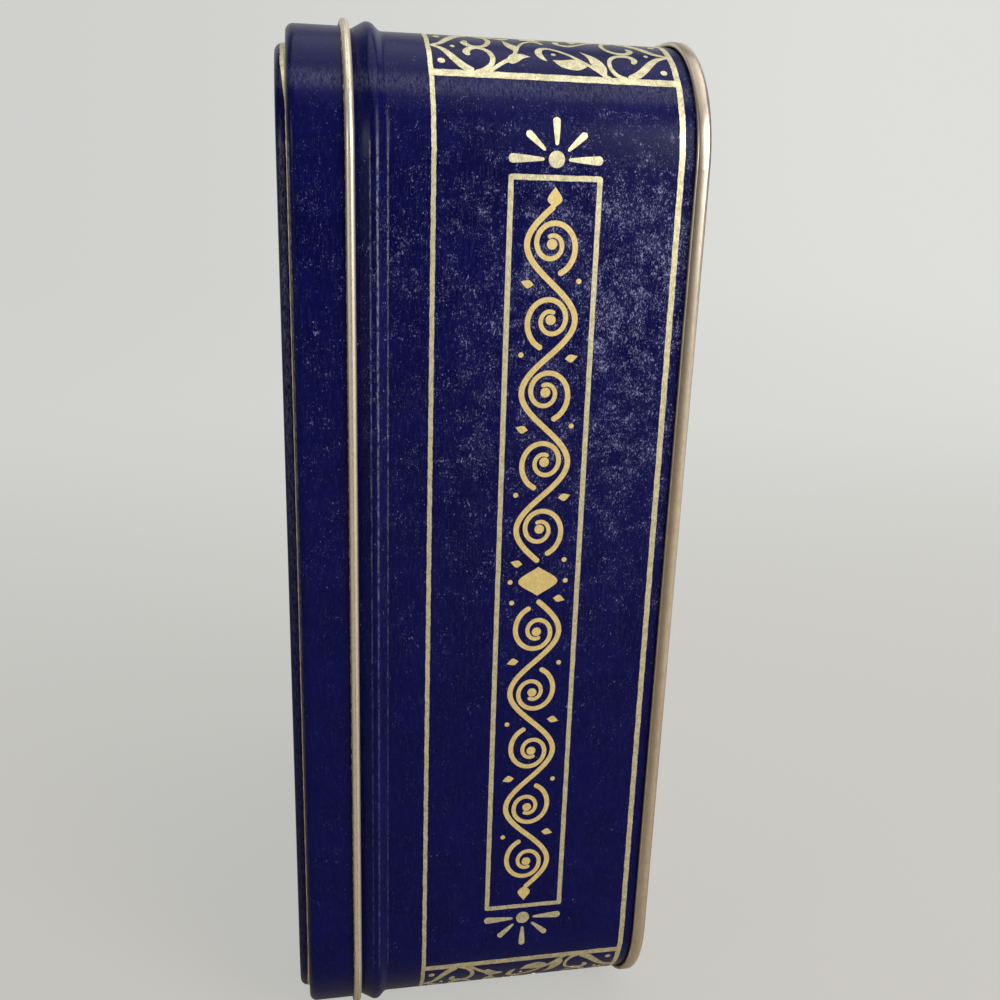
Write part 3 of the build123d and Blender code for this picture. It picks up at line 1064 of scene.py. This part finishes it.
def middle_sun():
    """A disc, and long and short rays by turns."""
    edges = [disc((0, 0), 6.0)]
    for n in range(SUN_RAYS):
        angle = 2 * math.pi * n / SUN_RAYS
        reach = SHORT_RAY if n % 2 else LONG_RAY
        line = [(r * math.cos(angle), r * math.sin(angle))
                for r in (RAY_FOOT, (RAY_FOOT + reach) / 2, reach)]
        edges.append(stroke(line, [0.9, 1.9, 2.6]))
    return edges


spray = turned_over([
    stroke([(0, 0), (-4, 3.2), (-9, 4.6), (-14, 3.6), (-16.4, 0.6), (-14.6, -2.0), (-12.0, -1.2)],
           [1.6, 1.5, 1.4, 1.4, 1.5, 1.7, 1.3]),
    stroke([(-9, 4.6), (-15, 7.4), (-22, 7.2), (-28, 4.2)], [0.9, 1.0, 1.0, 0.8]),
    leaf([(-5, 3.4), (-9.5, 7.6), (-13.5, 9.6)], [(-5, 3.4), (-7.2, 9.2), (-13.5, 9.6)]),
    leaf([(-18, 7.3), (-22.5, 9.0), (-26, 12.4)], [(-18, 7.3), (-19.6, 11.6), (-26, 12.4)]),
    disc((-29.8, 2.9), 0.9), disc((-17.0, 12.2), 0.7)])

round_panel.mirrored = False
borders = [border(inset, width) for inset, width in BORDERS]
add_piece("lid_border", borders, pale_gold, "lid", looped=True)

spray_rings = []
for side_z in (-1, 1):
    for side_y in (-1, 1):
        for swap in (False, True):
            at_z, at_y = side_z * (side_run + SPRAY_INSET), side_y * (end_run + SPRAY_INSET)
            corner_put = on_panel(at_z, at_y, side_z, side_y, swap)
            lift = PANEL_PROUD + (SWAPPED_LIFT if swap else 0.0)
            spray_rings += [pad(right, left, corner_put, lift + SPRAY_LAYER * n)
                            for n, (right, left) in enumerate(spray)]
add_piece("lid_sprays", spray_rings, pale_gold, "lid")

sun_rings = [pad(right, left, on_panel(0, 0), PANEL_PROUD) for right, left in middle_sun()]
add_piece("lid_sun", sun_rings, pale_gold, "lid")

# %% [markdown]
# ## Camera
# The camera's place and turn were worked out from the tin's edges in the photograph. It could
# track an empty at the tin's middle, but then it couldn't roll, so its three axes come from yaw,
# pitch and roll.

# %% The camera
YAW, PITCH, ROLL = 0.1920, 0.2989, 0.0331
CAMERA_AT = MM * np.array([-38.5, -286.6, 205.9])


def set_axes(thing, right, up, back, at):
    """Stands a camera or lamp at a place, its own X, Y and Z along right, up and back."""
    matrix = np.eye(4)
    matrix[:3] = np.stack([right, up, back, at], -1)
    thing.matrix_world = Matrix(matrix.tolist())


def new_camera():
    """Ahead turns by yaw from +Y towards +X and dips by pitch; then roll turns the picture."""
    data = bpy.data.cameras.new("camera")
    data.lens, data.sensor_width = 37.60, 36.0
    data.clip_start, data.clip_end = 0.01, 20
    thing = bpy.data.objects.new("camera", data)
    bpy.context.scene.collection.objects.link(thing)
    level = np.array([math.sin(YAW), math.cos(YAW), 0.0])
    ahead = level * math.cos(PITCH) - np.array([0, 0, math.sin(PITCH)])
    aside = np.array([math.cos(YAW), -math.sin(YAW), 0.0])
    above = np.cross(aside, ahead)
    set_axes(thing, math.cos(ROLL) * aside + math.sin(ROLL) * above,
             math.cos(ROLL) * above - math.sin(ROLL) * aside, -ahead, CAMERA_AT)
    return thing


bpy.context.scene.camera = new_camera()
print("camera at", np.round(CAMERA_AT, 4).tolist())

# %% [markdown]
# ## Floor
# A studio floor runs back and curves up into a wall, so that no edge shows behind the tin. A
# plane with one bevelled fold would do as well; a profile carried from side to side needs no
# modifier. To the camera it glows a little, which keeps the backdrop pale, while the tin's shadow
# stays; the glow is painted light, brighter to the right than to the left. In reflections it glows
# behind and beside the tin, where the metal would otherwise mirror the dark.

# %% The floor and backdrop
FLOOR_PAINT = (0.43, 0.375, 0.30)
# The glow is painted light, brighter to the right than to the left.
GLOW_LEFT_SHADED, GLOW_RIGHT_LIT = (0.65, 0.655, 0.635), (0.765, 0.77, 0.74)
FLOOR_RADIUS, FLOOR_FRONT, FLOOR_BACK, FLOOR_UPRIGHT, FLOOR_HALF_WIDTH = 0.5, -2.5, 1.6, 2.0, 3.0


def sweep_profile(t):
    """Forward edge to back: a flat run, a quarter circle and an upright, as (y, z) in metres."""
    flat = FLOOR_BACK - FLOOR_FRONT
    arc = FLOOR_RADIUS * math.pi / 2
    run = t * (flat + arc + FLOOR_UPRIGHT)
    turn = np.clip((run - flat) / FLOOR_RADIUS, 0, math.pi / 2)
    y = FLOOR_FRONT + np.minimum(run, flat) + FLOOR_RADIUS * np.sin(turn)
    z = FLOOR_RADIUS * (1 - np.cos(turn)) + np.clip(run - flat - arc, 0, None)
    return y, z


def new_floor(steps=120, across=13):
    """The profile carried from side to side: steps rows of points, across points in each."""
    y, z = sweep_profile(np.linspace(0, 1, steps)[:, None])
    x = np.linspace(-FLOOR_HALF_WIDTH, FLOOR_HALF_WIDTH, across)[None, :]
    points = np.stack(np.broadcast_arrays(x, y, z), -1).reshape(-1, 3)
    i, k = np.arange(steps - 1)[:, None] * across, np.arange(across - 1)[None, :]
    faces = np.stack([i + k, i + k + 1, i + across + k + 1, i + across + k], -1).reshape(-1, 4)
    return new_object("studio_floor", points, faces)


def mix_shaders(w, share, first, second, end):
    """The first shader where share is 0, the second where it is 1, led to the end node."""
    mix = w.node("MixShader", {0: share, 1: first.outputs[0], 2: second.outputs[0]})
    w.fill(w.tree.nodes[end], {"Surface": mix.outputs[0]})


def floor_material():
    """Matt paint that the lamps light, and a glow that only the camera and reflections see."""
    material, w, shader = new_material("pale_floor")
    w.fill(shader, {"Base Color": (*FLOOR_PAINT, 1), "Roughness": 0.8})
    x, y, z = w.split(w.vector("SCALE", millimetres(w), scale=MM))
    # Painted light: the glow brightens from left to right.
    glow = w.node("Emission", {"Color": w.blend(w.fade(x, -0.8, 1.4), GLOW_LEFT_SHADED, GLOW_RIGHT_LIT)})
    ray = w.node("LightPath").outputs
    far_off = w.highest(w.fade(y, -0.2, 0.7), w.fade(z, 0.0, 0.3))
    to_camera = w.times(ray["Is Camera Ray"], w.scaled(far_off, 0.30, 0.65))
    behind = w.fade(w.scaled(x, 0.8, y), -0.05, 0.45)
    beside = w.highest(behind, w.fade(x, -0.4, -1.2, 0.0, 0.8))
    to_gloss = w.times(ray["Is Glossy Ray"], w.times(beside, 0.95))
    mix_shaders(w, w.highest(to_camera, to_gloss), shader, glow, "Material Output")
    return material


studio_floor = new_floor()
studio_floor.data.materials.append(floor_material())
print("floor of", len(studio_floor.data.polygons), "faces")

# %% [markdown]
# ## Light
# The room's light is dim and even. A picture of a room could light the tin, but three square
# lamps are easier to steer: a key from the front right, a wide one overhead and a weak fill from
# the left.

# %% The lamps and the world
WORLD_LIGHT, WORLD_STRENGTH = (0.82, 0.83, 0.85), 0.22
WORLD_SEEN = (0.70, 0.705, 0.685)         # what the camera sees past the floor's edges


def studio_world():
    """A dim background lights the tin, and only the camera sees a paler one."""
    world = bpy.data.worlds.new("studio")
    world.use_nodes = True
    w = Wiring(world.node_tree)
    lit = w.fill(w.tree.nodes["Background"],
                 {"Color": (*WORLD_LIGHT, 1), "Strength": WORLD_STRENGTH})
    seen = w.node("Background", {"Color": (*WORLD_SEEN, 1)})
    ray = w.node("LightPath").outputs
    mix_shaders(w, ray["Is Camera Ray"], lit, seen, "World Output")
    return world


def lamp(name, at, aim, size, power):
    """A square area light, its face turned to aim; places in metres."""
    data = bpy.data.lights.new(name, "AREA")
    data.size, data.energy = size, power
    light = bpy.data.objects.new(name, data)
    bpy.context.scene.collection.objects.link(light)
    back = np.array(at) - np.array(aim)
    back /= np.linalg.norm(back)
    aside = np.cross([0, 0, 1], back)
    aside /= np.linalg.norm(aside)
    set_axes(light, aside, np.cross(back, aside), back, at)
    print(name, "lamp,", size, "m wide,", power, "W")


bpy.context.scene.world = studio_world()
lamp("key", (0.63, -0.79, 0.56), (0, 0, 0.16), 0.6, 8.8)
lamp("overhead", (0.10, -0.08, 1.20), (0, 0, 0.2), 1.2, 5.8)
lamp("fill", (-0.95, -0.60, 0.45), (0, 0, 0.16), 0.3, 1.6)
bpy.context.scene.view_settings.view_transform = "Standard"

# %% [markdown]
# ## Sizes
# Ink on the lid's panel is all that may stand past the construction model's box.
